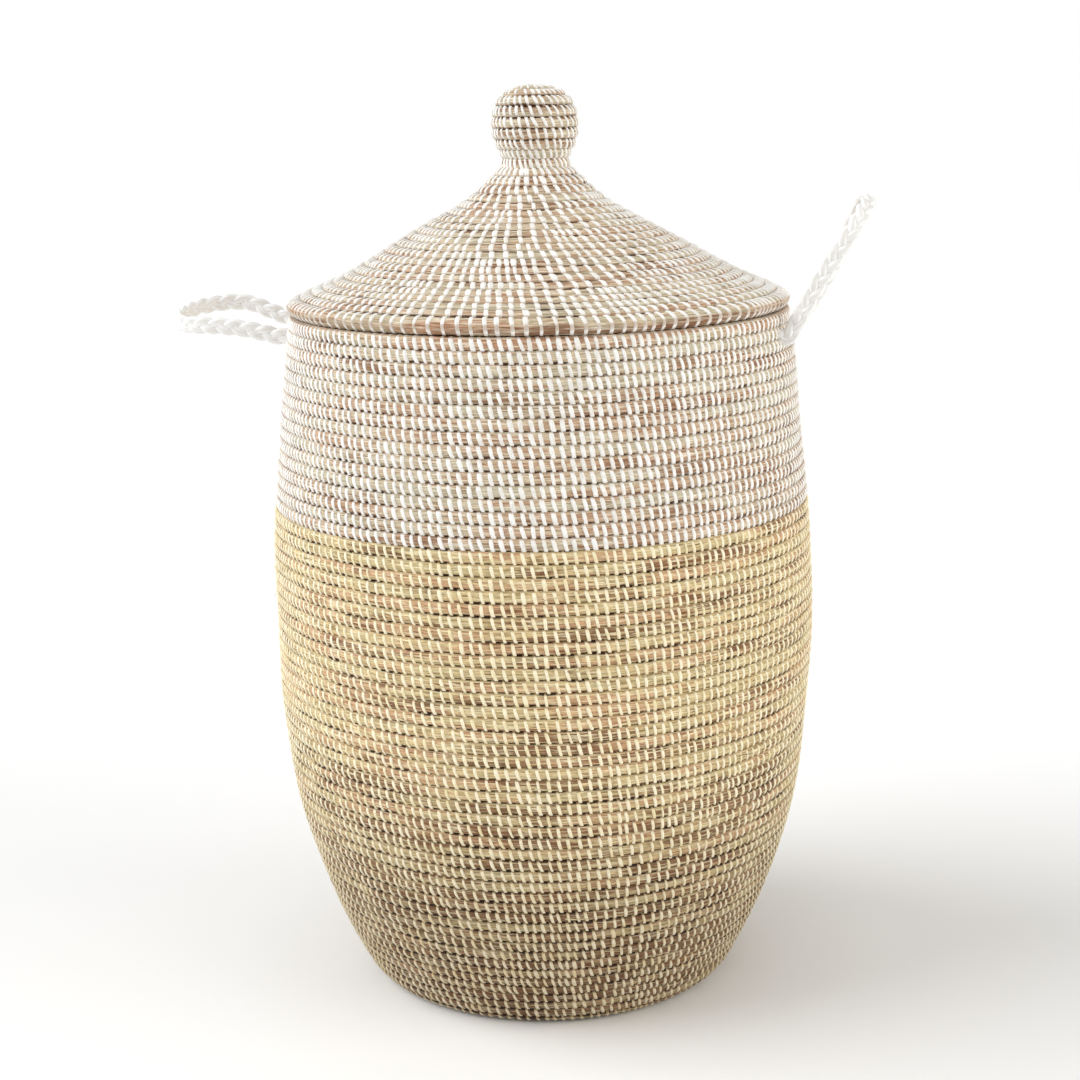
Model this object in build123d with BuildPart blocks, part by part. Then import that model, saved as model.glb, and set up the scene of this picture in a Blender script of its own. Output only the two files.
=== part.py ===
from build123d import *
import math
import os

# Coiled laundry basket with a conical lid and two braided loop handles.
# Millimetres, +Z up. The origin is the centre of the base on the floor.
# The handles lie on the X axis, the left one towards -X, and the front is towards -Y.

# ---- Driving dimensions ----

coil_row = 9.1                  # height of one row of the coil, measured along the wall
coil_thick = 9.5                # thickness of the coil with its sewing strip

belly_radius = 210.6            # widest outer radius of the wall
belly_height = 308.6            # height of the widest row
rim_height = 526.0              # top of the last row
mouth_draw_in = 19.4            # how much narrower the rim is than the belly
foot_draw_in = 61.1             # how much narrower the foot is than the belly
foot_height = 9.2               # height at which the wall has drawn in by foot_draw_in

base_start_radius = 20.0        # outer radius of the first tight turns
base_radius = 124.0             # outer radius of the flat turns
contact_radius = 133.0          # outer radius of the face that stands on the floor
foot_top = 10.0                 # height at which the foot turns into the wall
lower_wall_top = 110.0
middle_wall_top = 240.0
strip_change_height = 381.4     # the cream sewing strip ends here and the white one starts

lid_gap = 0.4                   # between the basket's rim and the lid
lid_rim_radius = 190.4
lid_drop = 10.5                 # thickness of the cone, measured vertically
ring_clearance = 1.2            # between the locating ring and the mouth
ring_depth = 8.5                # how far the ring reaches into the mouth

neck_radius = 26.0
neck_height = 110.5             # heights on the lid are counted from its lower face
knob_radius = 31.0
knob_widest_height = 134.0
knob_top_height = 166.0
core_radius = 17.0
core_top_height = 150.0

# The cone's upper face as radius and height, from the lid's rim in to the split between its
# outer and inner turns, and from there up to the neck.
outer_cone = [(181.0, 14.3), (165.0, 20.8), (153.0, 26.0), (132.0, 37.5), (110.0, 51.0)]
inner_cone = [(110.0, 51.0), (85.0, 64.5), (60.5, 77.5), (45.0, 88.6), (34.5, 99.8),
              (neck_radius, neck_height)]

braid_radius = 5.5
handle_half_span = 44.0         # from the handle's middle to each of its ends
left_handle_length = 94.0       # from the pivot to the middle of the braid at the tip
right_handle_length = 111.5
handle_tip_radius = 40.0        # how round the corners of the loop are
handle_height = 507.8           # height of the handle ends, between two rows
pivot_stand_off = 6.0           # from the wall's outer face to the point where the braid bends
left_handle_angle = 6.0         # degrees above the horizontal as it stands
right_handle_angle = 61.0

tail_radius = 4.0
tail_clearance = 0.2
knot_radius = 7.0
knot_gap = 0.5                  # between a knot and the wall that it is drawn up against

os.makedirs("parts", exist_ok=True)


def wall_radius(height):
    """Outer radius of the basket's wall at a height above the floor."""
    if height > belly_height:
        rise = (height - belly_height) / (rim_height - belly_height)
        return belly_radius - mouth_draw_in * rise**1.5
    fall = (belly_height - height) / (belly_height - foot_height)
    return belly_radius - foot_draw_in * fall**2.7


def save(piece, name):
    """Label a finished piece and write its STEP file."""
    piece.label = name
    export_step(piece, f"parts/{name}.step")


# ---- Base: a flat spiral, the tight first turns at its centre ----

with BuildPart() as base_start:
    with BuildSketch(Plane.XY):
        Circle(base_start_radius)
    extrude(amount=coil_row)
save(base_start.part, "base_start")

with BuildPart() as base_coil:
    with BuildSketch(Plane.XY):
        Circle(base_radius)
        Circle(base_start_radius, mode=Mode.SUBTRACT)
    extrude(amount=coil_row)
save(base_coil.part, "base_coil")

# ---- Foot: the turns that round up from the flat base into the wall ----

with BuildPart() as foot_coil:
    with BuildSketch(Plane.XZ):
        with BuildLine():
            heel = (wall_radius(foot_top), foot_top)
            inner_heel = (heel[0] - coil_thick, foot_top)
            TangentArc((contact_radius, 0), heel, tangent=(1, 0))
            Polyline(
                heel,
                inner_heel,
                (contact_radius, coil_row),
                (base_radius, coil_row),
                (base_radius, 0),
                (contact_radius, 0),
            )
        make_face()
    revolve(axis=Axis.Z)
save(foot_coil.part, "foot_coil")

# ---- Wall: bands of one rising coil ----


def wall_band(low, high):
    """A band of the wall between two heights, its faces following the wall's curve."""
    levels = [low + (high - low) * step / 4 for step in range(5)]
    outer_points = [(wall_radius(level), level) for level in levels]
    inner_points = [(radius - coil_thick, level) for radius, level in outer_points]
    with BuildPart() as band:
        with BuildSketch(Plane.XZ):
            with BuildLine():
                Spline(*outer_points)
                Line(outer_points[-1], inner_points[-1])
                Spline(*inner_points)
                Line(inner_points[0], outer_points[0])
            make_face()
        revolve(axis=Axis.Z)
    return band.part


save(wall_band(foot_top, lower_wall_top), "lower_wall_coil")
save(wall_band(lower_wall_top, middle_wall_top), "middle_wall_coil")
save(wall_band(middle_wall_top, strip_change_height), "belly_coil")
save(wall_band(rim_height - coil_row, rim_height), "rim_coil")

# The white band also has the four places where the handle ends pass between two rows.

handle_wall_x = math.sqrt(wall_radius(handle_height) ** 2 - handle_half_span**2)

white_band = wall_band(strip_change_height, rim_height - coil_row)

with BuildPart() as upper_wall_coil:
    add(white_band)
    with BuildSketch(Plane.YZ):
        with Locations((-handle_half_span, handle_height), (handle_half_span, handle_height)):
            Circle(tail_radius + tail_clearance)
    extrude(amount=belly_radius, both=True, mode=Mode.SUBTRACT)
save(upper_wall_coil.part, "upper_wall_coil")

# ---- Handle ends: the braid's tail in the wall and the knot that holds it inside ----

inner_radius = wall_radius(handle_height) - coil_thick
knot_centre_radius = inner_radius - knot_gap - knot_radius
knot_x = math.sqrt(knot_centre_radius**2 - handle_half_span**2)


def end_knot(side, y_side, name):
    """One handle end: side is +1 on the right and -1 on the left, y_side -1 at the front."""
    centre = (side * knot_x, y_side * handle_half_span, handle_height)
    tail_end = handle_wall_x - knot_x
    tail_start = math.sqrt(knot_radius**2 - tail_radius**2)
    with BuildPart() as knot:
        with BuildSketch(Plane(origin=centre, x_dir=(side, 0, 0), z_dir=(0, -side, 0))):
            with BuildLine():
                ThreePointArc((-knot_radius, 0), (0, knot_radius), (tail_start, tail_radius))
                Polyline(
                    (tail_start, tail_radius),
                    (tail_end, tail_radius),
                    (tail_end, 0),
                    (-knot_radius, 0),
                )
            make_face()
        revolve(axis=Axis(centre, (side, 0, 0)))
    save(knot.part, name)


end_knot(-1, -1, "left_front_knot")
end_knot(-1, 1, "left_back_knot")
end_knot(1, -1, "right_front_knot")
end_knot(1, 1, "right_back_knot")

# ---- Handles: a loop of braid that bends where it leaves the wall ----

pivot_x = handle_wall_x + pivot_stand_off


def handle_loop(side, length, angle, name):
    """A loop that stands out from the wall at an angle above the horizontal."""
    lean = math.radians(angle)
    outward = (side * math.cos(lean), 0, math.sin(lean))
    upward = (-side * math.sin(lean), 0, math.cos(lean))
    loop_plane = Plane(origin=(side * pivot_x, 0, handle_height), x_dir=outward, z_dir=upward)
    with BuildPart() as loop:
        with BuildLine(loop_plane) as route:
            FilletPolyline(
                (0, -handle_half_span),
                (length, -handle_half_span),
                (length, handle_half_span),
                (0, handle_half_span),
                radius=handle_tip_radius,
            )
        start = route.line @ 0
        finish = route.line @ 1
        with BuildSketch(Plane(origin=start, z_dir=route.line % 0)):
            Circle(braid_radius)
        sweep()
        with Locations(start, finish):
            Sphere(braid_radius)
    save(loop.part, name)


handle_loop(-1, left_handle_length, left_handle_angle, "left_handle_braid")
handle_loop(1, right_handle_length, right_handle_angle, "right_handle_braid")

# ---- Lid rim: the thick outer turn, which sits on the basket's rim ----

lid_base = rim_height + lid_gap
ring_outer = wall_radius(rim_height) - coil_thick - ring_clearance
ring_inner = ring_outer - coil_row
cone_start, cone_start_height = outer_cone[0]
lid_rim_height = 11.5
rim_crown = 187.0               # radius at which the turn meets the next one above it

with BuildPart() as lid_rim_coil:
    with BuildSketch(Plane.XZ):
        with BuildLine():
            ThreePointArc(
                (rim_crown, lid_base),
                (lid_rim_radius, lid_base + lid_rim_height / 2),
                (rim_crown, lid_base + lid_rim_height),
            )
            Polyline(
                (rim_crown, lid_base + lid_rim_height),
                (cone_start, lid_base + cone_start_height),
                (cone_start, lid_base),
                (rim_crown, lid_base),
            )
        make_face()
    revolve(axis=Axis.Z)
save(lid_rim_coil.part, "lid_rim_coil")

# ---- Locating ring: turns sewn under the cone that drop inside the mouth ----

ring_top_outer = cone_start_height - lid_drop - 0.2
ring_top_inner = ring_top_outer + 3.6

with BuildPart() as lid_locating_ring:
    with BuildSketch(Plane.XZ):
        with BuildLine():
            Polyline(
                (ring_outer, lid_base - ring_depth),
                (ring_outer, lid_base + ring_top_outer),
                (ring_inner, lid_base + ring_top_inner),
                (ring_inner, lid_base - ring_depth),
                close=True,
            )
        make_face()
    revolve(axis=Axis.Z)
save(lid_locating_ring.part, "lid_locating_ring")

# ---- Cone: the turns from the lid's rim up to the neck ----


def cone_band(upper_face, name):
    """A band of the cone below a run of its upper face."""
    upper = [(radius, lid_base + height) for radius, height in upper_face]
    lower = [(radius, height - lid_drop) for radius, height in upper]
    with BuildPart() as band:
        with BuildSketch(Plane.XZ):
            with BuildLine():
                Spline(*upper)
                Line(upper[-1], lower[-1])
                Spline(*lower)
                Line(lower[0], upper[0])
            make_face()
        revolve(axis=Axis.Z)
    save(band.part, name)


cone_band(outer_cone, "lid_outer_coil")
cone_band(inner_cone, "lid_inner_coil")

# ---- Knob: turns wound on a stuffing of grass, which also fills the neck ----

knob_foot = (neck_radius, lid_base + neck_height)
knob_side = (knob_radius, lid_base + knob_widest_height)
knob_crown = (0, lid_base + knob_top_height)
core_corner = (core_radius, lid_base + core_top_height)

with BuildPart() as knob_coil:
    with BuildSketch(Plane.XZ):
        with BuildLine():
            Spline(knob_foot, knob_side, knob_crown, tangents=((0.3, 1), (-1, 0)))
            Polyline(
                knob_crown,
                (0, core_corner[1]),
                core_corner,
                (core_radius, knob_foot[1]),
                knob_foot,
            )
        make_face()
    revolve(axis=Axis.Z)
save(knob_coil.part, "knob_coil")

with BuildPart() as knob_core:
    with BuildSketch(Plane.XY.offset(knob_foot[1] - lid_drop)):
        Circle(neck_radius)
    extrude(amount=lid_drop)
    with BuildSketch(Plane.XY.offset(knob_foot[1])):
        Circle(core_radius)
    extrude(amount=core_corner[1] - knob_foot[1])
save(knob_core.part, "knob_core")
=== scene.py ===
import math

import bmesh
import bpy
import numpy as np
from mathutils import Matrix, Vector


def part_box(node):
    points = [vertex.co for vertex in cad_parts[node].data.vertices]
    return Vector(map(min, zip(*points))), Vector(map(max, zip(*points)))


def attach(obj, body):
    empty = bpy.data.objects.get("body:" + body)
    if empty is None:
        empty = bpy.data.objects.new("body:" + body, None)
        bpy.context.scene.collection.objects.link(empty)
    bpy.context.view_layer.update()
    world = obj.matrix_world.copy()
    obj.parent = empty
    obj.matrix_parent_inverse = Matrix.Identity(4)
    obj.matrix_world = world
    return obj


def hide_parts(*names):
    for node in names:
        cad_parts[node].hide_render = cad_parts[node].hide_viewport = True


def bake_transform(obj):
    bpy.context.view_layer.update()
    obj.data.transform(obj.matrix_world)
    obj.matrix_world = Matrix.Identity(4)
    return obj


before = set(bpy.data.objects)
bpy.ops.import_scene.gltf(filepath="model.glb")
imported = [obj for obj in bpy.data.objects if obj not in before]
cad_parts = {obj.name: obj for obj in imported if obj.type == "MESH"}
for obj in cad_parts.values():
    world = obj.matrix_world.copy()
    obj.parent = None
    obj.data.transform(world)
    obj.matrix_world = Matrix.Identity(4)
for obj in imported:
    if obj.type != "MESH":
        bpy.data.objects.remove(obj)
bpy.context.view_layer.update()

# ---- Camera, floor and light ----
# A long lens a metre and a half away looks slightly down on the basket's front. It stands on a
# plain white floor in a bright room, with soft cool light from the upper left and weaker, warmer
# light from the right.

aim = Vector((0, 0, 0.3424))
turn, rise, distance, roll = math.radians(11), math.radians(12.84), 1.530, math.radians(1.15)
shift_left = 0.0022
away = Vector((math.sin(turn) * math.cos(rise), -math.cos(turn) * math.cos(rise), math.sin(rise)))
right = Vector((0, 0, 1)).cross(away).normalized()
above = away.cross(right)
lean_right = right * math.cos(roll) - above * math.sin(roll)
lean_above = above * math.cos(roll) + right * math.sin(roll)
camera_data = bpy.data.cameras.new("camera")
camera_data.sensor_width = 36.0
camera_data.lens = 64.7
camera = bpy.data.objects.new("camera", camera_data)
view = Matrix((lean_right, lean_above, away)).transposed().to_4x4()
view.translation = aim + away * distance - lean_right * shift_left
camera.matrix_world = view
bpy.context.scene.collection.objects.link(camera)
bpy.context.scene.camera = camera
bpy.context.scene.view_settings.view_transform = "Standard"

# The room's walls give a little less light than they show to the camera.
room_light, room_shown = 0.60, 1.0
room = bpy.data.worlds.new("bright_room")
room.use_nodes = True
walls = room.node_tree.nodes["Background"]
walls.inputs["Color"].default_value = (1.0, 1.0, 1.0, 1)
seen = room.node_tree.nodes.new("ShaderNodeLightPath")
glow = room.node_tree.nodes.new("ShaderNodeMapRange")
glow.inputs["To Min"].default_value = room_light
glow.inputs["To Max"].default_value = room_shown
room.node_tree.links.new(seen.outputs["Is Camera Ray"], glow.inputs["Value"])
room.node_tree.links.new(glow.outputs["Result"], walls.inputs["Strength"])
bpy.context.scene.world = room

light_spread = math.radians(55)
for name, towards, strength, tone in (
        ("left_light", (-1.7, -0.4, 1.2), 2.2, (0.97, 0.985, 1.0)),
        ("right_light", (1.7, -0.35, 0.45), 1.5, (1.0, 0.955, 0.87))):
    lamp_data = bpy.data.lights.new(name, "SUN")
    lamp_data.angle = light_spread
    lamp_data.energy = strength
    lamp_data.color = tone
    lamp = bpy.data.objects.new(name, lamp_data)
    lamp.rotation_euler = Vector(towards).to_track_quat("Z", "Y").to_euler()
    bpy.context.scene.collection.objects.link(lamp)

floor_reach = 12.0
bm = bmesh.new()
bmesh.ops.create_grid(bm, x_segments=1, y_segments=1, size=floor_reach)
floor_mesh = bpy.data.meshes.new("floor")
bm.to_mesh(floor_mesh)
bm.free()
floor = bpy.data.objects.new("floor", floor_mesh)
bpy.context.scene.collection.objects.link(floor)
floor_finish = bpy.data.materials.new("white_floor")
floor_finish.use_nodes = True
floor_shader = floor_finish.node_tree.nodes["Principled BSDF"]
floor_shader.inputs["Base Color"].default_value = (0.95, 0.95, 0.95, 1)
floor_shader.inputs["Roughness"].default_value = 0.9
floor_mesh.materials.append(floor_finish)

# ---- The coil of the basket ----
# One long bundle of dry grass, about as thick as a finger, is wound from the centre of the
# base out to the foot and up to the rim. Each turn is sewn down on the one below it.

row_height = 0.0091
coil_radius = 0.0046
strip_rise = 0.00055
coil_inset = coil_radius + strip_rise     # from the outline to the middle of the bundle
coil_sides = 10
coil_squareness = 0.68                    # 1 is round: rows sewn together press each other flat
seam_turn = math.radians(100)             # where one row ends and the next one starts: at the back
climb_start = 0.80                        # the bundle climbs to the next row from here to the end
rim_height = 0.526


def wall_radius(height):
    """Outer radius of the wall: widest at the belly, drawn in to the rim and to the foot."""
    belly_radius, belly_height, foot_height = 0.2106, 0.3086, 0.0092
    rim_draw, foot_draw = 0.0194, 0.0611
    rise = np.clip((height - belly_height) / (rim_height - belly_height), 0, 1)
    fall = np.clip((belly_height - height) / (belly_height - foot_height), 0, 1)
    return belly_radius - rim_draw * rise**1.5 - foot_draw * fall**2.7


def length_along(points):
    """Distance along a line of points, from its start to each point."""
    return np.concatenate([[0], np.cumsum(np.linalg.norm(np.diff(points, axis=0), axis=1))])


def coil_path(outline, side):
    """Middle line of a coiled wall below its outline of (radius, height) points, in running order.
    side is +1 if the outside is on the right of the running direction and -1 if on the left.
    sway is how unevenly the wall stands, from 0 to 1, and level_to is where that begins."""
    points = np.array(outline, float)
    along = np.gradient(points, axis=0)
    along /= np.linalg.norm(along, axis=1)[:, None]
    outward = side * np.stack([along[:, 1], -along[:, 0]], axis=1)
    middle = points - outward * coil_inset
    return {"length": length_along(middle), "middle": middle, "along": along, "outward": outward,
            "sway": 1.0, "level_to": 0.0}


def place_rows(path, distances, steps=None, thick=coil_radius):
    """Put a path's rows at these distances along it. steps are their heights."""
    path["rows"] = len(distances)
    path["row_at"] = np.array(distances, float)
    path["row_step"] = np.gradient(path["row_at"]) if steps is None else np.array(steps, float)
    path["row_radius"] = np.interp(path["row_at"], path["length"], path["middle"][:, 0])
    path["thick"] = np.full(path["rows"], thick)


def on_path(path, level, angle, out, up, along):
    """Points of the basket from coil measures: level in rows, angle round the axis, out from the
    bundle's middle, up towards the next row and along the bundle."""
    distance = np.interp(level, np.arange(path["rows"]), path["row_at"])
    middle, outward, upward = [
        [np.interp(distance, path["length"], path[line][:, axis]) for axis in (0, 1)]
        for line in ("middle", "outward", "along")]
    broad_sway, fine_sway, sway_grows = 0.0006, 0.0004, 0.12
    sway = (broad_sway * np.sin(3 * angle + 31 * distance)
            + fine_sway * np.sin(5 * angle - 57 * distance))
    sway *= np.clip((distance - path["level_to"]) / sway_grows, 0, 1) * path["sway"]
    out = out + sway
    radius, height = [middle[axis] + out * outward[axis] + up * upward[axis] for axis in (0, 1)]
    least_radius = 0.004
    turn = angle + along / np.maximum(radius, least_radius)
    return np.stack([radius * np.cos(turn), radius * np.sin(turn), height], axis=1)


def thickness(path, turns):
    """Half the bundle's thickness, which may change from row to row."""
    return np.interp(turns, np.arange(path["rows"]), path["thick"])


def level_of(turns, rows):
    """Height of the bundle in rows: level round each row, with a climb at its end."""
    row = np.floor(turns)
    part = np.clip((turns - row - climb_start) / (1 - climb_start), 0, 1)
    level = row + part * part * (3 - 2 * part)
    return np.where(turns >= rows - 1, rows - 1.0, level)


def distance_wound(path, turns):
    """Length of bundle wound up to a number of turns, in metres."""
    samples = np.linspace(0, path["rows"], path["rows"] * 8 + 1)
    radius = np.interp(samples, np.arange(path["rows"]) + 0.5, path["row_radius"])
    wound = np.concatenate([[0], np.cumsum(2 * math.pi * radius[1:] * np.diff(samples))])
    return np.interp(turns, samples, wound)


def stitch_columns(counts, lean, seed, relax=3):
    """Where each row's stitches stand, as parts of a turn. Each row follows the columns of the
    row before it, new columns start in its widest gaps, and relax evens the gaps a little."""
    gap_luck, evening = 0.35, 0.3
    random = np.random.default_rng(seed)
    columns = (np.arange(counts[0]) + 0.5) / counts[0]
    rows = []
    for row, count in enumerate(counts):
        columns = np.sort((columns + lean[row]) % 1.0)
        extra = count - len(columns)
        if extra > 0:
            gaps = np.diff(np.append(columns, columns[0] + 1))
            picked = np.argsort(gaps * (1 + gap_luck * random.random(len(gaps))))[-extra:]
            added = columns[picked] + gaps[picked] / 2
            columns = np.sort(np.concatenate([columns, added]) % 1.0)
            while len(columns) < count:
                columns = np.sort(np.append(columns, random.random()))
        for _ in range(relax):
            ahead = np.append(columns[1:], columns[0] + 1)
            behind = np.append(columns[-1] - 1, columns[:-1])
            columns = columns + evening * ((ahead + behind) / 2 - columns)
        columns = np.sort(columns % 1.0)
        rows.append(row + columns)
    return rows


def piece_from(name, mesh):
    piece = bpy.data.objects.new(name, mesh)
    bpy.context.scene.collection.objects.link(piece)
    return piece


def finish_mesh(bm, name):
    """Turn the faces outwards and make the mesh."""
    bmesh.ops.recalc_face_normals(bm, faces=bm.faces)
    mesh = bpy.data.meshes.new(name)
    bm.to_mesh(mesh)
    bm.free()
    mesh.polygons.foreach_set("use_smooth", [True] * len(mesh.polygons))
    return mesh


def turn_outwards(mesh):
    """Turn the faces of a mesh outwards after its points have moved."""
    bm = bmesh.new()
    bm.from_mesh(mesh)
    bmesh.ops.recalc_face_normals(bm, faces=bm.faces)
    bm.to_mesh(mesh)
    bm.free()


def move_points(mesh, points):
    mesh.vertices.foreach_set("co", points.astype(np.float32).ravel())
    mesh.update()


def points_of(mesh):
    points = np.empty(len(mesh.vertices) * 3, np.float32)
    mesh.vertices.foreach_get("co", points)
    return points.reshape(-1, 3).astype(float)


def corner_map(mesh):
    """The corner map's values and, for each of them, the vertex it belongs to."""
    values = np.empty(len(mesh.loops) * 2, np.float32)
    mesh.uv_layers["coil"].data.foreach_get("uv", values)
    vertices = np.empty(len(mesh.loops), np.int32)
    mesh.loops.foreach_get("vertex_index", vertices)
    return values.reshape(-1, 2).astype(float), vertices


def set_corner_map(mesh, along, around):
    values = np.stack([along, around], axis=1).astype(np.float32)
    mesh.uv_layers["coil"].data.foreach_set("uv", values.ravel())


def rolled_tube(lengthwise, around):
    """A straight tube of unit radius along X with closed ends, rolled from a grid. Its seam faces
    the row before."""
    bm = bmesh.new()
    bm.loops.layers.uv.new("coil")
    bmesh.ops.create_grid(bm, x_segments=lengthwise, y_segments=around, size=0.5, calc_uvs=True)
    for vertex in bm.verts:
        turn = 2 * math.pi * (vertex.co.y + 0.5) - math.pi / 2
        vertex.co.y = math.cos(turn)
        vertex.co.z = math.sin(turn)
    bmesh.ops.remove_doubles(bm, verts=bm.verts, dist=1e-6)
    bmesh.ops.holes_fill(bm, edges=[edge for edge in bm.edges if edge.is_boundary], sides=0)
    return bm


def bundle(name, path, stitches, first_row, last_row, taper=False):
    """The grass bundle of some rows: it swells between its stitches and is pinched under them."""
    pinch, swelling, row_overlap = 0.00012, 0.00022, 0.00025
    taper_turns, taper_most = 0.16, 0.75
    middles = (stitches[1:] + stitches[:-1]) / 2
    rings = np.sort(np.concatenate([stitches, middles]))
    rings = rings[(rings > first_row) & (rings < last_row)]
    rings = np.concatenate([[first_row], rings, [last_row]])
    swell = np.where(np.isin(rings, middles), 1.0, 0.0)
    mesh = finish_mesh(rolled_tube(len(rings) - 1, coil_sides), name)
    points = points_of(mesh)
    ring = np.rint((points[:, 0] + 0.5) * (len(rings) - 1)).astype(int)
    turns = rings[ring]
    size = np.ones(len(turns))
    if taper:
        size = 1 - taper_most * np.clip((turns - (last_row - taper_turns)) / taper_turns, 0, 1)
    points[:, 1:] = np.sign(points[:, 1:]) * np.abs(points[:, 1:])**coil_squareness
    out = points[:, 1] * (thickness(path, turns) - pinch + swelling * swell[ring]) * size
    level = level_of(turns, path["rows"])
    half_row = np.interp(level, np.arange(path["rows"]), path["row_step"]) / 2
    up = points[:, 2] * (half_row + row_overlap) * size
    move_points(mesh, on_path(path, level, seam_turn + 2 * math.pi * turns, out, up, 0.0))
    values, _ = corner_map(mesh)
    ring = np.rint(values[:, 0] * (len(rings) - 1)).astype(int)
    set_corner_map(mesh, distance_wound(path, rings)[ring], values[:, 1])
    return mesh


def repeated(bm, count, step):
    """Repeat everything along X by doubling."""
    made = 1
    while made < count:
        add = min(made, count - made)
        part = [*bm.verts, *bm.edges, *bm.faces]
        if add < made:
            limit = (add - 0.5) * step
            kept = {vertex for vertex in bm.verts if vertex.co.x < limit}
            part = [*kept, *[edge for edge in bm.edges if kept.issuperset(edge.verts)],
                    *[face for face in bm.faces if kept.issuperset(face.verts)]]
        new = bmesh.ops.duplicate(bm, geom=part)["geom"]
        moved = [item for item in new if isinstance(item, bmesh.types.BMVert)]
        bmesh.ops.translate(bm, verts=moved, vec=(made * step, 0, 0))
        made += add


# One stitch in section, in mm: from where it goes into the row before, over the outside of its
# own row, over the top and down the inside.
stitch_outside = [(1.2, -6.5), (3.6, -4.9), (4.45, -3.1), (5.05, -1.0), (5.05, 1.1), (4.35, 3.1),
                  (2.7, 4.5)]
stitch_inside = [(-3.9, 3.9), (-5.15, 1.1), (-4.8, -2.9), (-1.6, -6.4)]
stitch_loop = stitch_outside + [(0.0, 5.05)] + stitch_inside
strip_section = [(-0.5, 0.0), (-0.32, 1.0), (0.32, 1.0), (0.5, 0.0), (-0.5, 0.0)]
strip_thick = 0.65                        # in mm, like the stitch
most_stitches = 1920                      # in one strip piece


def strip_mesh(name, path, stitches, width, slant, seed):
    """Flat strip sewn round the bundle: one closed loop of strip for each stitch."""
    spacing = 0.02
    width_spread, slant_spread, place_spread, place_most = 0.11, 0.22, 0.00036, 0.0008
    random = np.random.default_rng(seed)
    loop = stitch_loop + stitch_loop[:1]
    arcs = len(loop) - 1
    bm = bmesh.new()
    bm.loops.layers.uv.new("coil")
    bmesh.ops.create_grid(bm, x_segments=arcs, y_segments=4, size=0.5, calc_uvs=True)
    for vertex in bm.verts:
        out, up = loop[round((vertex.co.x + 0.5) * arcs)]
        across, rise = strip_section[round((vertex.co.y + 0.5) * 4)]
        depth = 1 - (1 - rise) * strip_thick / math.hypot(out, up)
        vertex.co = (across * width, out * depth / 1000, up * depth / 1000)
    bmesh.ops.remove_doubles(bm, verts=bm.verts, dist=1e-7)
    bmesh.ops.recalc_face_normals(bm, faces=bm.faces)
    repeated(bm, len(stitches), spacing)
    mesh = finish_mesh(bm, name)
    points = points_of(mesh)
    index = np.rint(points[:, 0] / spacing).astype(int)
    local = points[:, 0] - index * spacing
    count = len(stitches)
    broad = random.normal(1.0, width_spread, count).clip(0.7, 1.35)
    leaning = random.normal(1.0, slant_spread, count).clip(0.3, 1.8)
    shifted = random.normal(0.0, place_spread, count).clip(-place_most, place_most)
    tilt = points[:, 2] / coil_radius
    along = local * broad[index] + slant * leaning[index] * tilt + shifted[index]
    turns = stitches[index]
    level = level_of(turns, path["rows"])
    up = points[:, 2] * np.interp(level, np.arange(path["rows"]), path["row_step"]) / row_height
    out = points[:, 1] * thickness(path, turns) / coil_radius
    move_points(mesh, on_path(path, level, seam_turn + 2 * math.pi * turns, out, up, along))
    values, vertices = corner_map(mesh)
    set_corner_map(mesh, distance_wound(path, turns)[vertices] + along[vertices], values[:, 0])
    turn_outwards(mesh)
    return mesh


def follow_rows(name, path, stitches, rows, finishes, body, node, strip, seed):
    """The grass and the strips of some rows of a coil, in place of one CAD band. strip is the
    strip's width and how far a stitch slants."""
    first, last = rows
    grass_finish, strip_finish = finishes
    chosen = np.concatenate(stitches[first:last])
    grass_mesh = bundle(name + "_grass", path, chosen, first, last, taper=last == path["rows"])
    grass_mesh.materials.append(grass_finish)
    grass = piece_from(name + "_grass", grass_mesh)
    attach(grass, body)
    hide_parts(node)
    width, slant = strip
    parts = math.ceil(len(chosen) / most_stitches)
    for part, group in enumerate(np.array_split(chosen, parts)):
        part_name = name + "_strip" + (f"_{part + 1}" if parts > 1 else "")
        mesh = strip_mesh(part_name, path, group, width, slant, seed + part)
        mesh.materials.append(strip_finish)
        piece = piece_from(part_name, mesh)
        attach(piece, body)


def add_node(tree, kind, settings=None, **sockets):
    """A node with its settings, and with values or links for its sockets. _0 is its first socket,
    and a socket's name has _ for a space."""
    made = tree.nodes.new(kind)
    for name, value in (settings or {}).items():
        setattr(made, name, value)
    for name, value in sockets.items():
        socket = made.inputs[int(name[1:]) if name[0] == "_" else name.replace("_", " ")]
        if isinstance(value, bpy.types.NodeSocket):
            tree.links.new(value, socket)
        else:
            socket.default_value = value
    return made


def math_node(tree, operation, *values):
    sockets = {f"_{number}": value for number, value in enumerate(values)}
    return add_node(tree, "ShaderNodeMath", {"operation": operation}, **sockets).outputs[0]


def mixed(tree, amount, first, second, blend_type="MIX"):
    made = add_node(tree, "ShaderNodeMix", {"data_type": "RGBA", "blend_type": blend_type},
                    _0=amount, _6=first, _7=second)
    return made.outputs[2]


def ranged(tree, value, low, high, to_low=0.0, to_high=1.0):
    made = add_node(tree, "ShaderNodeMapRange", {"interpolation_type": "SMOOTHSTEP"},
                    _0=value, _1=low, _2=high, _3=to_low, _4=to_high)
    return made.outputs[0]


def noise_at(tree, along, around, shift, detail=2.0, rough=0.5):
    place = add_node(tree, "ShaderNodeCombineXYZ", _0=along, _1=around, _2=shift)
    made = add_node(tree, "ShaderNodeTexNoise", _0=place.outputs[0], Scale=1.0, Detail=detail,
                    Roughness=rough)
    return made.outputs["Fac"]


def near_next_row(tree, around):
    """1 where a coil meets the rows beside it, and 0 halfway between them."""
    return math_node(tree, "ABSOLUTE", math_node(
        tree, "COSINE", math_node(tree, "MULTIPLY", around, 2 * math.pi)))


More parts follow.
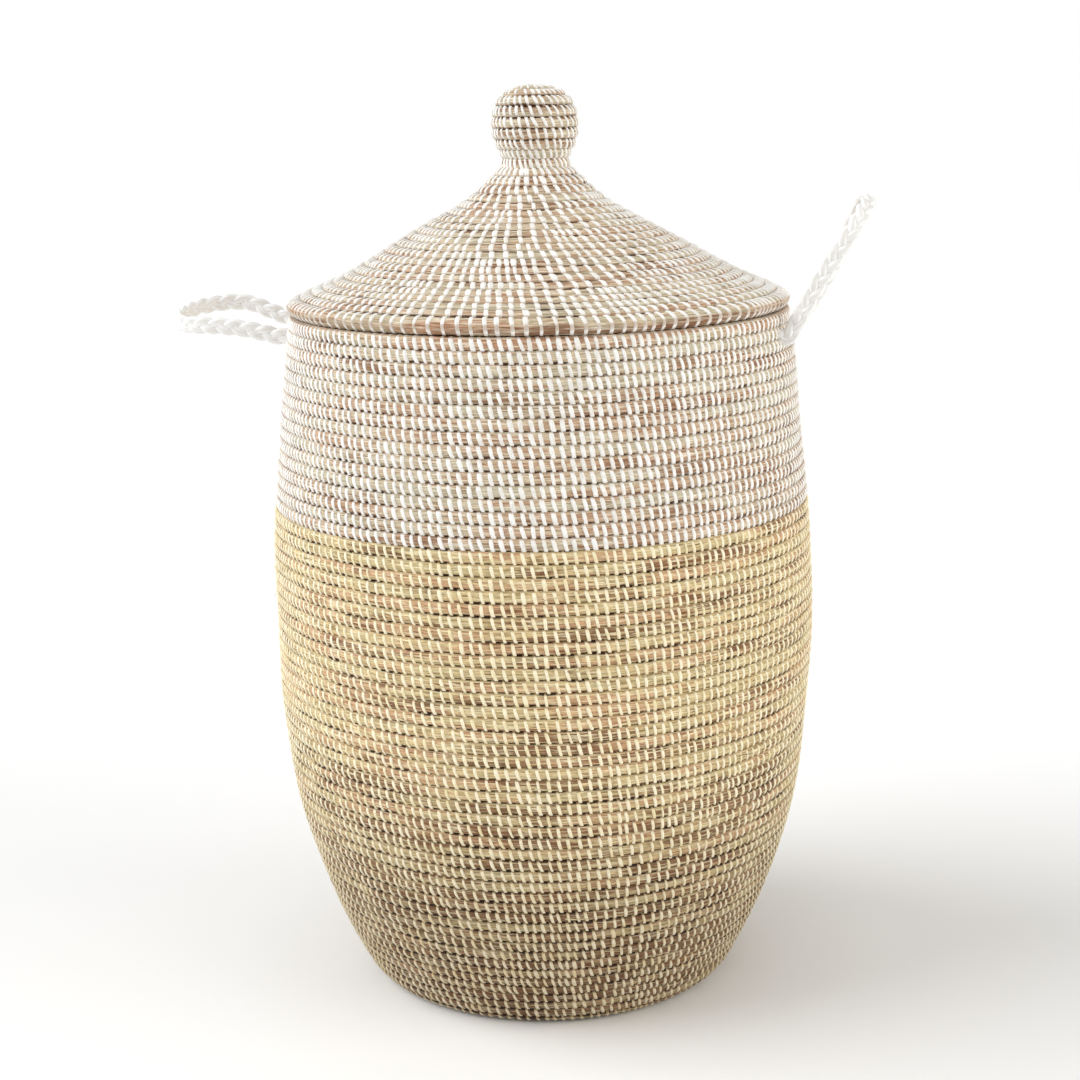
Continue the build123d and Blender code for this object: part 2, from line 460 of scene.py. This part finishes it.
def new_group(name, colors, values):
    """A group that reads the coil map, some colours and some values, and puts out a finish."""
    group = bpy.data.node_groups.new(name, "ShaderNodeTree")
    white = (1, 1, 1, 1)
    inputs = [("Coil", "Vector", (0, 0, 0)), *[(color, "Color", white) for color in colors],
              *[(value, "Float", amount) for value, amount in values]]
    for socket, kind, value in inputs:
        made = group.interface.new_socket(socket, in_out="INPUT", socket_type="NodeSocket" + kind)
        made.default_value = value
    for socket, kind in (("Color", "Color"), ("Roughness", "Float"), ("Height", "Float")):
        group.interface.new_socket(socket, in_out="OUTPUT", socket_type="NodeSocket" + kind)
    given = group.nodes.new("NodeGroupInput").outputs
    result = group.nodes.new("NodeGroupOutput").inputs
    parts = add_node(group, "ShaderNodeSeparateXYZ", _0=given["Coil"]).outputs
    return group, given, result, parts[0], parts[1]


# Dried grass: long fibres along the bundle, in patches of beige, sage, rose and brown. The deep
# places between the rows are darker: painted shade, with some dust.
grass_group, given, result, along, around = new_group(
    "dried_grass",
    ("Pale Color", "Beige Color", "Sage Color", "Rose Color", "Brown Color", "Seam Color"),
    (("Dark", 0.0), ("Seam", 0.5)))


def grass_math(operation, *values):
    return math_node(grass_group, operation, *values)


def grass_noise(along_scale, around_scale, shift, detail=2.0, rough=0.5):
    return noise_at(grass_group, grass_math("MULTIPLY", along, along_scale),
                    grass_math("MULTIPLY", around, around_scale), shift, detail, rough)


def grass_patches(broad, fine, share):
    """Broad patches with finer ones in them."""
    return grass_math("ADD", grass_math("MULTIPLY", broad, share),
                      grass_math("MULTIPLY", fine, 1 - share))


tint = grass_patches(grass_noise(9.0, 2.2, 3.0, 2.5, 0.6),
                     grass_noise(26.0, 17.0, 7.0, 1.5, 0.6), 0.72)
brown_patch = grass_patches(grass_noise(8.0, 2.8, 17.0, 2.5, 0.6),
                            grass_noise(30.0, 14.0, 13.0, 2.0, 0.6), 0.7)
fibre = grass_noise(38.0, 21.0, 29.0, 3.0, 0.65)
hair = grass_noise(110.0, 62.0, 41.0, 2.0, 0.6)
straw = grass_noise(16.0, 26.0, 53.0, 1.0, 0.4)
# Towards the bottom (Dark) the grass has more brown patches and is mixed towards brown, and it is
# darkened with painted shade.
brown_edge = grass_math("SUBTRACT", 0.552, grass_math("MULTIPLY", given["Dark"], 0.10))
brownness = grass_math("SUBTRACT", brown_patch, brown_edge)
color = given["Beige Color"]
for value, low, high, most, stain in (
        (tint, 0.505, 0.545, 1.0, "Sage Color"),
        (tint, 0.490, 0.445, 1.0, "Rose Color"),
        (brownness, -0.03, 0.05, 0.85, "Brown Color"),
        (fibre, 0.50, 0.66, 0.85, "Pale Color"),
        (fibre, 0.47, 0.33, 0.80, "Brown Color"),
        (straw, 0.64, 0.70, 0.8, "Pale Color")):
    color = mixed(grass_group, ranged(grass_group, value, low, high, 0.0, most), color, given[stain])
color = mixed(grass_group, grass_math("MULTIPLY", given["Dark"], 0.26), color, given["Brown Color"])
darker = grass_math("MULTIPLY", grass_math("POWER", given["Dark"], 1.5), 0.36)
shade = grass_math("MULTIPLY", ranged(grass_group, hair, 0.32, 0.68, 0.66, 1.18),
                   grass_math("SUBTRACT", 1.0, darker))
color = mixed(grass_group, 1.0, color, shade, "MULTIPLY")
ragged = grass_math("MULTIPLY", grass_math("SUBTRACT", grass_noise(40.0, 1.5, 61.0, 3.0), 0.5), 1.3)
# Painted shade, with some dust, where the rows meet; more of it towards the bottom of the wall.
depth = grass_math("ADD", near_next_row(grass_group, around), ragged)
depth = grass_math("ADD", depth, grass_math("MULTIPLY", given["Dark"], 0.16))
seam_shade_and_dust = grass_math("MULTIPLY", ranged(grass_group, depth, 0.70, 0.97), given["Seam"])
color = mixed(grass_group, seam_shade_and_dust, color, given["Seam Color"])
grass_group.links.new(color, result["Color"])
grass_group.links.new(ranged(grass_group, fibre, 0.3, 0.7, 0.72, 0.5), result["Roughness"])
height = grass_math("ADD", fibre, grass_math("MULTIPLY", hair, 0.5))
grass_group.links.new(height, result["Height"])

# Flat strip: fine ribs along it, small changes of tone from stitch to stitch, and painted shade
# with a little dirt where it goes in between two rows.
strip_group, given, result, along, around = new_group(
    "flat_strip", ("Strip Color", "Shade Color", "Dirt Color"),
    (("Dirt", 0.5), ("Rib Scale", 1500.0), ("Length Scale", 9.0), ("Dark", 0.0)))


def strip_math(operation, *values):
    return math_node(strip_group, operation, *values)


rib = noise_at(strip_group, strip_math("MULTIPLY", along, given["Rib Scale"]),
               strip_math("MULTIPLY", around, given["Length Scale"]), 5.0, 1.0)
patch = noise_at(strip_group, strip_math("MULTIPLY", along, 95.0),
                 strip_math("MULTIPLY", around, 1.5), 11.0, 2.0, 0.7)
color = mixed(strip_group, ranged(strip_group, patch, 0.42, 0.68),
              given["Strip Color"], given["Shade Color"])
# Towards the bottom (Dark) the strip is mixed towards the dirt-and-shade colour and darkened with
# painted shade.
color = mixed(strip_group, strip_math("MULTIPLY", given["Dark"], 0.30), color, given["Dirt Color"])
rib_shade = strip_math("SUBTRACT", ranged(strip_group, rib, 0.3, 0.7, 0.90, 1.04),
                       strip_math("MULTIPLY", given["Dark"], 0.12))
color = mixed(strip_group, 1.0, color, rib_shade, "MULTIPLY")
# Painted shade, with a little dirt, where the strip goes in between two rows.
dirt = strip_math("MULTIPLY", ranged(strip_group, near_next_row(strip_group, around), 0.80, 1.0),
                  given["Dirt"])
color = mixed(strip_group, dirt, color, given["Dirt Color"])
strip_group.links.new(color, result["Color"])
strip_group.links.new(ranged(strip_group, rib, 0.3, 0.7, 0.62, 0.48), result["Roughness"])
strip_group.links.new(rib, result["Height"])


def coiled_finish(name, group, values, relief, specular, dark):
    """A finish from one of the groups, laid along the coil. relief is the bump's strength and
    depth. dark is the pair of heights between which it turns darker, from the first to the
    second."""
    finish = bpy.data.materials.new(name)
    finish.use_nodes = True
    tree = finish.node_tree
    shader = tree.nodes["Principled BSDF"]
    shader.inputs["Specular IOR Level"].default_value = specular
    place = add_node(tree, "ShaderNodeUVMap", {"uv_map": "coil"})
    effect = add_node(tree, "ShaderNodeGroup", {"node_tree": group}, Coil=place.outputs[0], **values)
    # Dark paints shade: the finish turns darker from the first height down to the second.
    if dark:
        where = add_node(tree, "ShaderNodeTexCoord")
        rise = add_node(tree, "ShaderNodeSeparateXYZ", _0=where.outputs["Object"]).outputs[2]
        tree.links.new(ranged(tree, rise, dark[0], dark[1]), effect.inputs["Dark"])
    tree.links.new(effect.outputs["Color"], shader.inputs["Base Color"])
    tree.links.new(effect.outputs["Roughness"], shader.inputs["Roughness"])
    bump = add_node(tree, "ShaderNodeBump", Strength=relief[0], Distance=relief[1],
                    Height=effect.outputs["Height"])
    tree.links.new(bump.outputs[0], shader.inputs["Normal"])
    return finish


def screen_colors(**colors):
    """Colours as a screen shows them, from 0 to 255, in the linear values that a group needs."""
    return {name + "_Color": (*[((part / 255 + 0.055) / 1.055)**2.4 for part in color], 1.0)
            for name, color in colors.items()}


def dried_grass(name, seam, relief=(0.7, 0.0006), dark=None, **colors):
    values = {**screen_colors(**colors), "Seam": seam}
    return coiled_finish(name, grass_group, values, relief, 0.3, dark)


def flat_strip(name, dirt, relief=(0.4, 0.0002), dark=None, scales=None, **colors):
    values = {**screen_colors(**colors), "Dirt": dirt, **(scales or {})}
    return coiled_finish(name, strip_group, values, relief, 0.35, dark)


# Seam is how much painted shade, with some dust, darkens the grass where the rows meet.
white_grass = dried_grass(
    "grass_under_white_strip", 0.92, Pale=(236, 224, 202), Beige=(212, 192, 162),
    Sage=(200, 189, 162), Rose=(196, 162, 132), Brown=(142, 98, 66), Seam=(72, 40, 22))
edge_grass = dried_grass(
    "grass_at_the_lid_edge", 0.35, Pale=(236, 224, 202), Beige=(212, 190, 158),
    Sage=(198, 186, 156), Rose=(192, 150, 118), Brown=(140, 98, 70), Seam=(110, 74, 50))
# dark gives the heights over which painted shade darkens the lower wall.
cream_grass = dried_grass(
    "grass_under_cream_strip", 0.97, dark=(0.28, 0.03), Pale=(243, 229, 190), Beige=(220, 196, 146),
    Sage=(204, 184, 136), Rose=(204, 164, 124), Brown=(118, 76, 42), Seam=(44, 24, 8))
# Each strip's first number is how much painted shade, with a little dirt, darkens it where it goes
# in between two rows.
white_strip = flat_strip(
    "white_strip", 0.6, Strip=(249, 248, 245), Shade=(235, 232, 225), Dirt=(168, 138, 106))
cream_strip = flat_strip(
    "cream_strip", 0.7, dark=(0.24, 0.02), Strip=(252, 243, 214), Shade=(240, 225, 182),
    Dirt=(150, 112, 60))

base_edge = 0.1325                        # radius up to which the base is flat
foot_start = 0.133                        # radius where the foot begins to turn up
foot_angle = math.radians(61.1)           # how far it turns up
foot_bend = 0.01935                       # radius of that bend
foot_top = 0.0101
basket_outline = (
    [(radius, 0.0) for radius in np.linspace(0, base_edge, 160)]
    + [(foot_start + foot_bend * math.sin(foot_angle * part),
        foot_bend * (1 - math.cos(foot_angle * part))) for part in np.linspace(0, 1, 30)]
    + [(wall_radius(height), height) for height in np.linspace(foot_top, rim_height, 900)])
basket = coil_path(basket_outline, 1)
basket["level_to"] = 0.15
first_row, last_row = coil_radius, basket["length"][-1] - coil_radius
row_count = int(round((last_row - first_row) / row_height)) + 1
place_rows(basket, np.linspace(first_row, last_row, row_count))
row_heights = np.interp(basket["row_at"], basket["length"], basket["middle"][:, 1])

# Up to foot_sewn high the stitches keep their distance. Above it a row keeps its number of
# stitches for a while, and then the number grows towards the belly.
foot_spacing, foot_sewn, least_count = 0.00645, 0.045, 5
count_heights, wall_counts = [0.045, 0.092, 0.205], [163, 163, 181]
basket_counts = []
for radius, height in zip(basket["row_radius"], row_heights):
    if height < foot_sewn:
        count = 2 * math.pi * radius / foot_spacing
    else:
        count = np.interp(height, count_heights, wall_counts)
    basket_counts.append(max(least_count, int(round(count))))
basket_stitches = stitch_columns(basket_counts, np.zeros(basket["rows"]), 11)


def row_at(height):
    return int(np.searchsorted(row_heights, height))


white_count = 16
base_rows = int(np.searchsorted(basket["row_radius"], 0.020))
foot_rows = int(np.searchsorted(basket["row_radius"], 0.124))
rim_row = basket["rows"] - 1
first_white_row = basket["rows"] - white_count
bands = [
    ("base_start", 0, base_rows, "base_start"),
    ("base_coil", base_rows, foot_rows, "base_coil"),
    ("foot_coil", foot_rows, row_at(0.010), "foot_coil"),
    ("lower_wall", row_at(0.010), row_at(0.110), "lower_wall_coil"),
    ("middle_wall", row_at(0.110), row_at(0.240), "middle_wall_coil"),
    ("belly", row_at(0.240), first_white_row, "belly_coil"),
    ("upper_wall", first_white_row, rim_row, "upper_wall_coil"),
    ("rim", rim_row, basket["rows"], "rim_coil"),
]
for number, (name, first, last, node) in enumerate(bands):
    if first >= first_white_row:
        basket["slot"] = "white_sewn_coil"
        finishes = (edge_grass if first == rim_row else white_grass, white_strip)
        strip_width = 0.0034
    else:
        basket["slot"] = "cream_sewn_coil"
        finishes = (cream_grass, cream_strip)
        strip_width = 0.0027
    follow_rows(name, basket, basket_stitches, (first, last), finishes, "basket", node,
                (strip_width, -0.0011), 40 + 10 * number)

# ---- Loose ends of grass ----
# Single blades whose ends have worked out between the stitches of the cream rows. They lie flat
# on the wall or stand off it a little, and the stitches over their other ends hold them.

loose_grass = dried_grass(
    "loose_grass", 0.0, (0.4, 0.0003), Pale=(236, 226, 190), Beige=(222, 206, 160),
    Sage=(206, 192, 146), Rose=(206, 176, 142), Brown=(150, 116, 84), Seam=(90, 66, 44))
loose_count, loose_steps, loose_gap = 84, 8, 2.0
lowest = 0.025                            # no blade is loose below this height
blade_length, blade_width, blade_flatness = (0.008, 0.030), (0.00035, 0.0007), 0.45
blade_start, blade_drift = (-0.0025, 0.0030), (-0.004, 0.003)     # up or down the wall
blade_out, blade_arch, lift_most = 0.0044, 0.0007, 0.0035         # out from the bundle's middle
loose_random = np.random.default_rng(77)
bm = rolled_tube(loose_steps, 4)
repeated(bm, loose_count, loose_gap)
mesh = finish_mesh(bm, "loose_grass")
points = points_of(mesh)
index = np.rint(points[:, 0] / loose_gap).astype(int)
part = np.clip(points[:, 0] - index * loose_gap + 0.5, 0, 1)
turns = loose_random.uniform(row_at(lowest), first_white_row - 1, loose_count)[index]
length = loose_random.uniform(*blade_length, loose_count)[index]
lift = (loose_random.random(loose_count)**3 * lift_most)[index]
drift = loose_random.uniform(*blade_drift, loose_count)[index]
start = loose_random.uniform(*blade_start, loose_count)[index]
width = loose_random.uniform(*blade_width, loose_count)[index] * (1.05 - 0.8 * part)
out = blade_out + lift * part**2 + blade_arch * np.sin(math.pi * part)
out = out + points[:, 1] * width * blade_flatness
up = start + drift * part**2 + points[:, 2] * width
level = level_of(turns, basket["rows"])
move_points(mesh, on_path(basket, level, seam_turn + 2 * math.pi * turns, out, up, length * part))
_, vertices = corner_map(mesh)
set_corner_map(mesh, 3.0 * index[vertices] + length[vertices] * part[vertices],
               np.full(len(vertices), 0.25))
mesh.materials.append(loose_grass)
loose = piece_from("loose_grass", mesh)
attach(loose, "basket")

# ---- Lid ----
# One more coil, wound from the top of the knob down its neck and out over the cone to a thick
# last turn that rests on the basket's rim. Two level turns sewn under it drop inside the mouth.

lid_base = float(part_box("lid_rim_coil")[0][2])


def rounded_line(points, rounds=3):
    """A smooth line near the points: each corner is cut off a few times."""
    line = np.array(points, float)
    for _ in range(rounds):
        before, after = line[:-1], line[1:]
        cut = np.stack([0.75 * before + 0.25 * after, 0.25 * before + 0.75 * after], axis=1)
        line = np.concatenate([line[:1], cut.reshape(-1, 2), line[-1:]])
    length = length_along(line)
    even = np.linspace(0, length[-1], int(length[-1] / 0.0005))
    return np.stack([np.interp(even, length, line[:, axis]) for axis in (0, 1)], axis=1)


# Outlines in mm, as (radius, height above the lid's edge).
knob_outline = [(0, 166.0), (10, 166.0), (20, 163), (28.5, 156.5), (33, 146), (34, 134),
                (31.5, 122.5), (27.2, 115), (26, 110.5)]
cone_outline = [(27.2, 105.5), (34.5, 99.8), (45, 88.6), (60.5, 77.5), (85, 64.5), (110, 51),
                (132, 37.5), (153, 26), (165, 21), (178, 15.4), (187.6, 10.3), (192.7, 7.6)]
lid_outline = np.array(knob_outline + cone_outline) / 1000
knob_first, knob_length, knob_row = 0.0042, 0.066, 0.0076
edge_height, edge_thick, edge_inset, edge_gap = 0.0112, 0.0051, 0.0058, 0.0103
lid = coil_path(rounded_line(lid_outline) + np.array([0, lid_base]), -1)
knob_distances = np.arange(knob_first, knob_length, knob_row)
edge_distance = lid["length"][-1] - edge_inset
cone_end = edge_distance - edge_gap
cone_count = int(round((cone_end - knob_distances[-1]) / row_height))
cone_distances = np.linspace(knob_distances[-1], cone_end, cone_count + 1)[1:]
place_rows(lid, np.concatenate([knob_distances, cone_distances, [edge_distance]]))
lid["row_step"][-2:] = (row_height, edge_height)
lid["thick"][-1] = edge_thick
lid["slot"] = "white_sewn_coil"
lid["sway"] = 0.6

# Stitches in a row grow with its radius in mm, closer together on the knob than on the cone.
on_knob = np.arange(lid["rows"]) < len(knob_distances)
knob_counts = 1.18 * 1000 * lid["row_radius"] + 3
cone_counts = 0.715 * 1000 * lid["row_radius"] + 5
lid_counts = np.rint(np.where(on_knob, knob_counts, cone_counts)).astype(int)
lid_counts = np.maximum.accumulate(lid_counts)
mean_lean, lean_spread, lean_radius = 0.002, 0.0013, 0.02
lid_lean = mean_lean + np.random.default_rng(5).normal(0, lean_spread, lid["rows"])
lid_lean = lid_lean / (2 * math.pi * np.maximum(lid["row_radius"], lean_radius))
lid_stitches = stitch_columns(list(lid_counts), lid_lean, 23, relax=2)
lid_heights = np.interp(lid["row_at"], lid["length"], lid["middle"][:, 1]) - lid_base
knob_rows = int(np.sum(lid_heights > 0.106))
inner_rows = int(np.sum(lid["row_radius"] < 0.107))
edge_row = lid["rows"] - 1
for number, (name, first, last, finish, strip_size) in enumerate((
        ("knob", 0, knob_rows, white_grass, (0.0028, 0.0012)),
        ("lid_inner", knob_rows, inner_rows, white_grass, (0.0038, 0.0009)),
        ("lid_outer", inner_rows, edge_row, white_grass, (0.0041, 0.0009)),
        ("lid_rim", edge_row, lid["rows"], edge_grass, (0.0036, 0.0009)))):
    follow_rows(name, lid, lid_stitches, (first, last), (finish, white_strip), "lid",
                name + "_coil", strip_size, 200 + 10 * number)

ring_radius, ring_height, ring_first, ring_thick = 0.1803, 0.0080, 0.0067, 0.0041
ring = coil_path([(ring_radius, lid_base + 0.0104 - 0.0001 * n) for n in range(190)], -1)
ring["slot"] = "white_sewn_coil"
ring["sway"] = 0.2
place_rows(ring, ring_first + ring_height * np.arange(2), [ring_height] * 2, ring_thick)
ring_stitches = stitch_columns([130, 130], [0, 0], 33)
follow_rows("locating_ring", ring, ring_stitches, (0, 2), (white_grass, white_strip), "lid",
            "lid_locating_ring", (0.0026, -0.001), 260)

# ---- Grass inside the knob ----
# A short tight bundle of the same grass. The knob's coil is wound round it, and the knob's
# stitches hold it there.

stuffing_radius, stuffing_foot = 0.0165, 0.101
stalk_count, stalk_depth = 16, 0.035
stuffing_layers = ((1.05, 0.002), (1.0, 0.008), (0.9, 0.010), (1.0, 0.014), (0.85, 0.010),
                   (0.5, 0.003))          # how much each one widens, and how high it is
bm = bmesh.new()
bmesh.ops.create_circle(bm, cap_ends=True, segments=3 * stalk_count, radius=stuffing_radius)
for grow, up in stuffing_layers:
    top = [face for face in bm.faces if face.normal.z > 0.9 or len(bm.faces) == 1]
    raised = bmesh.ops.extrude_face_region(bm, geom=top)["geom"]
    bmesh.ops.delete(bm, geom=top, context="FACES_ONLY")
    ring_points = [item for item in raised if isinstance(item, bmesh.types.BMVert)]
    bmesh.ops.scale(bm, verts=ring_points, vec=(grow, grow, 1))
    bmesh.ops.translate(bm, verts=ring_points, vec=(0, 0, up))
for vertex in bm.verts:
    stalk = 1 + stalk_depth * math.cos(stalk_count * math.atan2(vertex.co.y, vertex.co.x))
    vertex.co.x *= stalk
    vertex.co.y *= stalk
bmesh.ops.translate(bm, verts=bm.verts, vec=(0, 0, lid_base + stuffing_foot))
stuffing_layer = bm.loops.layers.uv.new("coil")
for face in bm.faces:
    for corner in face.loops:
        angle = math.atan2(corner.vert.co.y, corner.vert.co.x)
        corner[stuffing_layer].uv = (corner.vert.co.z, 0.5 + angle / (2 * math.pi))
stuffing = piece_from("knob_stuffing", finish_mesh(bm, "knob_stuffing"))
stuffing.data.materials.append(white_grass)
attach(stuffing, "lid")
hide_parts("knob_core")

# ---- Handles ----
# Each handle is a flat plait of three white plastic strips. Its two ends go in through the wall
# between two rows just below the rim, and it turns on them.

half_span = 0.044
tip_radius = 0.040
handle_height = 0.5078
pivot_x = 0.19452
knot_x = 0.168


def even_line(points, step):
    """Points along a line at nearly even steps."""
    points = np.array(points, float)
    length = length_along(points)
    even = np.linspace(0, length[-1], int(length[-1] / step) + 1)
    return np.stack([np.interp(even, length, points[:, axis]) for axis in range(3)], axis=1), even


def plait(name, line, broadside, wave, half_width, half_thick, strand, ends):
    """Three strands plaited along a line. The plait is broad towards broadside, strand is a
    strand's width and thickness, and ends says how far the plait is drawn in at its two ends."""
    step, sides, spacing, drawn_length = 0.0016, 24, 4.0, 0.012
    rib_count, rib_depth = 6, 0.10
    points, length = even_line(line, step)
    count = len(points)
    along = np.gradient(points, axis=0)
    along /= np.linalg.norm(along, axis=1)[:, None]
    sideways = broadside - np.sum(broadside * along, axis=1)[:, None] * along
    sideways /= np.linalg.norm(sideways, axis=1)[:, None]
    across = np.cross(along, sideways)
    bm = rolled_tube(count - 1, sides)
    repeated(bm, 3, spacing)
    mesh = finish_mesh(bm, name)
    local = points_of(mesh)
    index = np.rint(local[:, 0] / spacing).astype(int)
    place = np.rint((local[:, 0] - index * spacing + 0.5) * (count - 1)).astype(int)
    drawn = np.interp(length, [0, drawn_length, length[-1] - drawn_length, length[-1]],
                      [ends, 1, 1, ends])
    moved = np.zeros_like(local)
    ridge = 1 + rib_depth * np.cos(rib_count * np.arctan2(local[:, 2], local[:, 1]))
    for number in range(3):
        phase = 2 * math.pi * (length / wave + number / 3)
        centre = (points + (sideways.T * half_width * drawn * np.sin(phase)).T
                  + (across.T * half_thick * drawn * np.sin(2 * phase)).T)
        run = np.gradient(centre, axis=0)
        run /= np.linalg.norm(run, axis=1)[:, None]
        side = np.cross(across, run)
        side /= np.linalg.norm(side, axis=1)[:, None]
        out = np.cross(run, side)
        mine = index == number
        spot = place[mine]
        wide = local[mine, 1] * ridge[mine] * strand[0] / 2
        thick = local[mine, 2] * ridge[mine] * strand[1] / 2
        moved[mine] = centre[spot] + side[spot] * wide[:, None] + out[spot] * thick[:, None]
    move_points(mesh, moved)
    values, vertices = corner_map(mesh)
    set_corner_map(mesh, values[:, 0] * length[-1] + index[vertices] * 1.7, values[:, 1])
    turn_outwards(mesh)
    return mesh


def handle_line(side, reach, angle, bends):
    """Middle line of a handle, from its knot at the front inside the wall round to the back one.
    bends are its heights above its plane at even steps from the front leg to the back one."""
    outward = np.array([side * math.cos(angle), 0, math.sin(angle)])
    upward = np.array([-side * math.sin(angle), 0, math.cos(angle)])
    pivot = np.array([side * pivot_x, 0, handle_height])
    count, rounds_at_bends, rounds_at_wall = 30, 40, 6
    leg = np.linspace(0, 1, count)
    arc = np.linspace(0, math.pi / 2, count)
    flat = [(reach - tip_radius) * leg, -half_span * np.ones(count), 0 * leg]
    turn = [reach - tip_radius + tip_radius * np.sin(arc),
            -half_span + tip_radius * (1 - np.cos(arc)), 0 * arc]
    front = np.stack([np.concatenate([flat[n], turn[n]]) for n in range(3)], axis=1)
    loop = np.concatenate([front, front[::-1] * np.array([1, -1, 1])])
    loop[:, 2] = np.interp(np.linspace(0, 1, len(loop)), np.linspace(0, 1, len(bends)), bends)
    for _ in range(rounds_at_bends):
        loop[1:-1, 2] = (loop[:-2, 2] + 2 * loop[1:-1, 2] + loop[2:, 2]) / 4
    loop = pivot + loop[:, :1] * outward + loop[:, 1:2] * np.array([0, 1, 0]) + loop[:, 2:] * upward
    front_end = np.array([[side * knot_x, -half_span, handle_height]])
    line = np.concatenate([front_end, loop, front_end * np.array([1, -1, 1])])
    points, _ = even_line(line, 0.002)
    for _ in range(rounds_at_wall):
        points[1:-1] = (points[:-2] + 2 * points[1:-1] + points[2:]) / 4
    return points, upward


# 0.3 is how much of the dirt-and-shade colour is mixed into the strands.
plait_strip = flat_strip(
    "plaited_white_strip", 0.3, (0.5, 0.0004), scales={"Rib_Scale": 60.0, "Length_Scale": 30.0},
    Strip=(252, 252, 251), Shade=(242, 241, 238), Dirt=(206, 198, 188))
for side, reach, angle, bends, name in (
        (-1, 0.094, 6, (0, 0.0035, 0.003, -0.001, 0.002, 0.008, 0.013, 0.0035, 0), "left_handle"),
        (1, 0.1115, 61, (0, 0.002, 0, -0.002, 0, 0.002, -0.001, -0.002, 0), "right_handle")):
    line, upward = handle_line(side, reach, math.radians(angle), bends)
    mesh = plait(name + "_plait", line, upward, wave=0.038, half_width=0.0036, half_thick=0.0012,
                 strand=(0.0056, 0.0029), ends=0.7)
    mesh.materials.append(plait_strip)
    piece = piece_from(name + "_plait", mesh)
    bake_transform(piece)
    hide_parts(name + "_braid")

# ---- Knots inside the wall ----
# Behind the wall each end of a handle is tied in a small knot of the same plait, too thick to
# slip back out between the rows.

knot_depth, knot_reach, knot_shift = 0.0013, 0.0017, 0.0005
bend = np.linspace(0.25, 2 * math.pi + 0.1, 120)
trefoil = np.stack([
    knot_depth * np.sin(3 * bend) + knot_shift,
    knot_reach * (np.sin(bend) + 2 * np.sin(2 * bend)),
    knot_reach * (np.cos(bend) - 2 * np.cos(2 * bend))], axis=1)
for side, y_side, node in ((-1, -1, "left_front_knot"), (-1, 1, "left_back_knot"),
                           (1, -1, "right_front_knot"), (1, 1, "right_back_knot")):
    centre = np.array([side * knot_x, y_side * half_span, handle_height])
    line = centre + trefoil * np.array([side, 1, 1])
    mesh = plait(node + "_plait", line, np.array([1.0, 0, 0]), wave=0.030, half_width=0.0009,
                 half_thick=0.0006, strand=(0.0030, 0.0026), ends=1.0)
    mesh.materials.append(plait_strip)
    piece = piece_from(node + "_plait", mesh)
    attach(piece, "basket")
    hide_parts(node)
